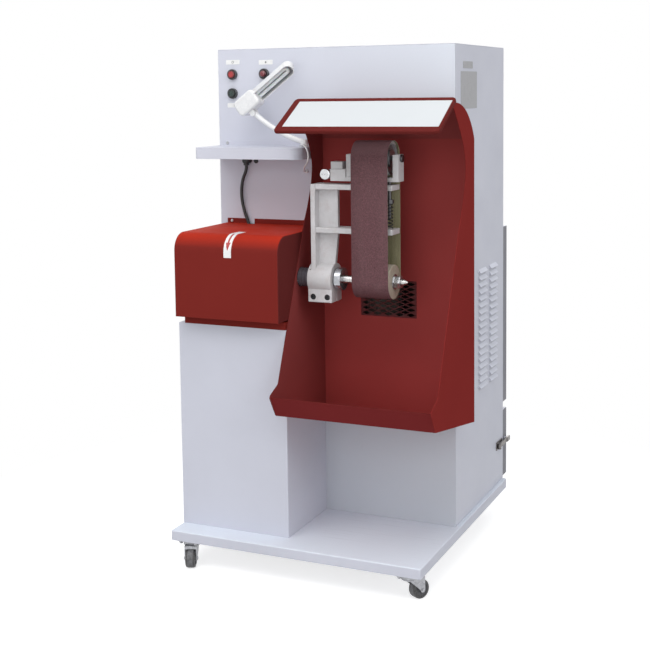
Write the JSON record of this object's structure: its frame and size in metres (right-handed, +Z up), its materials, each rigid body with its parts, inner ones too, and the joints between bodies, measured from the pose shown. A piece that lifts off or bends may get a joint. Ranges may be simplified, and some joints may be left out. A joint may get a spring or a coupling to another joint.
{
  "type": "stationary belt sander",
  "caption": "Floor-standing belt sander: upright belt on a tilting arm in a dust hood, motor on a pedestal, filter cabinet with door and drawer, swivel lamp, on casters.",
  "frame": {"origin": "on the floor under the middle of the machine's outline", "axes": "+X to the operator's right, +Y to the back, +Z up"},
  "size_m": [0.752, 0.8642, 1.387],
  "materials": {
    "body_paint": "satin powder coat",
    "red_paint": "satin powder coat",
    "visor_white": "satin",
    "casting": "painted casting",
    "steel": "machined",
    "bright_steel": "polished",
    "wheel_cream": "ground",
    "wheel_grey": "turned",
    "abrasive": "abrasive cloth",
    "caster_rubber": "matte",
    "zinc": "zinc plated",
    "motor_paint": "satin paint",
    "lamp_white": "gloss",
    "lamp_glass": "opal",
    "button_red": "gloss",
    "button_green": "gloss",
    "lens_red": "clear gloss",
    "bezel_dark": "satin",
    "black_plastic": "matte",
    "cable_black": "matte",
    "cable_white": "satin",
    "filter_cloth": "needle felt"
  },
  "bodies": {
    "cabinet": {"base_tray": "body_paint", "cabinet_front": "body_paint", "cabinet_left_side": "body_paint", "cabinet_right_side": "body_paint", "cabinet_top": "body_paint", "cabinet_back": "body_paint", "pedestal": "body_paint", "tool_shelf": "body_paint", "motor_pan": "red_paint", "motor_cover": "red_paint", "hood_pan": "red_paint", "hood_left_cheek": "red_paint", "hood_right_cheek": "red_paint", "hood_roof": "red_paint", "visor_frame": "red_paint", "suction_grille": "red_paint", "visor_panel": "visor_white", "panel_screws": "steel", "spindle_quill": "bright_steel", "latch_base": "bright_steel", "caster_plates": "zinc", "inner_decks": "zinc", "motor_frame": "motor_paint", "fan_housing": "motor_paint", "electrics_box": "motor_paint", "lamp_base": "lamp_white", "pilot_lens": "lens_red", "button_bezels": "bezel_dark", "cable_glands": "black_plastic", "motor_cable": "cable_black", "lamp_cable": "cable_white", "filter_bags": "filter_cloth"},
    "spindle": {"spindle_shaft": "steel", "drive_wheel": "wheel_cream", "spindle_nut": "bright_steel"},
    "belt_arm": {"belt_arm": "casting", "arm_bolts": "steel", "sanding_belt": "abrasive"},
    "tension_yoke": {"tension_yoke": "casting", "yoke_pins": "steel", "tension_springs": "steel"},
    "idler": {"idler_wheel": "wheel_grey"},
    "tracking_knob": {"tracking_knob": "bright_steel"},
    "stop_button": {"stop_button": "button_red"},
    "start_button": {"start_button": "button_green"},
    "lamp_arm": {"lamp_arm": "lamp_white"},
    "lamp_head": {"lamp_head": "lamp_white", "lamp_tube": "lamp_glass"},
    "filter_door": {"filter_door": "body_paint"},
    "dust_drawer": {"dust_drawer": "body_paint"},
    "latch_lever": {"latch_lever": "bright_steel"},
    "fan_impeller": {"fan_impeller": "motor_paint"},
    "caster_fork_front_left": {"caster_fork_front_left": "zinc"},
    "caster_wheel_front_left": {"caster_wheel_front_left": "caster_rubber"},
    "caster_fork_front_right": {"caster_fork_front_right": "zinc"},
    "caster_wheel_front_right": {"caster_wheel_front_right": "caster_rubber"},
    "caster_fork_rear_left": {"caster_fork_rear_left": "zinc"},
    "caster_wheel_rear_left": {"caster_wheel_rear_left": "caster_rubber"},
    "caster_fork_rear_right": {"caster_fork_rear_right": "zinc"},
    "caster_wheel_rear_right": {"caster_wheel_rear_right": "caster_rubber"}
  },
  "joints": [
    {"name": "spindle_spin", "type": "hinge", "parent": "cabinet", "child": "spindle", "pos_m": [-0.019, -0.2379, 0.779], "axis": [1, 0, 0], "continuous": true},
    {"name": "belt_arm_tilt", "type": "hinge", "parent": "cabinet", "child": "belt_arm", "pos_m": [-0.019, -0.2379, 0.779], "axis": [1, 0, 0], "range_deg": [-10, 75]},
    {"name": "belt_tension", "type": "slide", "parent": "belt_arm", "child": "tension_yoke", "axis": [0, 0, 1], "range_m": [-0.007, 0], "stiffness_N_per_m": 6000, "springref_m": 0.015, "deforming": ["tension_springs"]},
    {"name": "idler_spin", "type": "hinge", "parent": "tension_yoke", "child": "idler", "pos_m": [0.11, -0.2379, 1.09544], "axis": [1, 0, 0], "continuous": true},
    {"name": "tracking_turn", "type": "hinge", "parent": "tension_yoke", "child": "tracking_knob", "pos_m": [0.027, -0.2379, 1.05304], "axis": [0, 1, 0], "continuous": true},
    {"name": "stop_press", "type": "slide", "parent": "cabinet", "child": "stop_button", "axis": [0, 1, 0], "range_m": [0, 0.004], "stiffness_N_per_m": 500, "springref_m": -0.004},
    {"name": "start_press", "type": "slide", "parent": "cabinet", "child": "start_button", "axis": [0, 1, 0], "range_m": [0, 0.004], "stiffness_N_per_m": 500, "springref_m": -0.004},
    {"name": "lamp_swivel", "type": "hinge", "parent": "cabinet", "child": "lamp_arm", "pos_m": [-0.08, -0.1499, 1.1223], "axis": [0, 0, 1], "range_deg": [-5, 45]},
    {"name": "lamp_tilt", "type": "hinge", "parent": "lamp_arm", "child": "lamp_head", "pos_m": [-0.231, -0.1499, 1.209], "axis": [0, 1, 0], "range_deg": [-35, 35]},
    {"name": "door_swing", "type": "hinge", "parent": "cabinet", "child": "filter_door", "pos_m": [-0.37, 0.3731, 0.331], "axis": [0, 0, 1], "range_deg": [0, 110]},
    {"name": "drawer_slide", "type": "slide", "parent": "cabinet", "child": "dust_drawer", "axis": [0, 1, 0], "range_m": [0, 0.38]},
    {"name": "latch_swing", "type": "hinge", "parent": "cabinet", "child": "latch_lever", "pos_m": [0.331, 0.3071, 0.212], "axis": [0, 0, -1], "range_deg": [0, 110]},
    {"name": "fan_spin", "type": "hinge", "parent": "cabinet", "child": "fan_impeller", "pos_m": [0.166, 0.0821, 1.077], "axis": [0, 1, 0], "continuous": true},
    {"name": "swivel_front_left", "type": "hinge", "parent": "cabinet", "child": "caster_fork_front_left", "pos_m": [-0.329, -0.3669, 0.0562], "axis": [0, 0, 1], "continuous": true},
    {"name": "roll_front_left", "type": "hinge", "parent": "caster_fork_front_left", "child": "caster_wheel_front_left", "pos_m": [-0.31932, -0.3921, 0.025], "axis": [0.9336, 0.3584, 0], "continuous": true},
    {"name": "swivel_front_right", "type": "hinge", "parent": "cabinet", "child": "caster_fork_front_right", "pos_m": [0.297, -0.3669, 0.0562], "axis": [0, 0, 1], "continuous": true},
    {"name": "roll_front_right", "type": "hinge", "parent": "caster_fork_front_right", "child": "caster_wheel_front_right", "pos_m": [0.3105, -0.34352, 0.025], "axis": [-0.866, 0.5, 0], "continuous": true},
    {"name": "swivel_rear_left", "type": "hinge", "parent": "cabinet", "child": "caster_fork_rear_left", "pos_m": [-0.301, 0.3341, 0.0562], "axis": [0, 0, 1], "continuous": true},
    {"name": "roll_rear_left", "type": "hinge", "parent": "caster_fork_rear_left", "child": "caster_wheel_rear_left", "pos_m": [-0.3145, 0.35748, 0.025], "axis": [-0.866, -0.5, 0], "continuous": true},
    {"name": "swivel_rear_right", "type": "hinge", "parent": "cabinet", "child": "caster_fork_rear_right", "pos_m": [0.252, 0.3341, 0.0562], "axis": [0, 0, 1], "continuous": true},
    {"name": "roll_rear_right", "type": "hinge", "parent": "caster_fork_rear_right", "child": "caster_wheel_rear_right", "pos_m": [0.22663, 0.34334, 0.025], "axis": [-0.342, -0.9397, 0], "continuous": true}
  ],
  "couplings": [
    {"joint": "idler_spin", "follows": "spindle_spin", "ratio": 1}
  ]
}
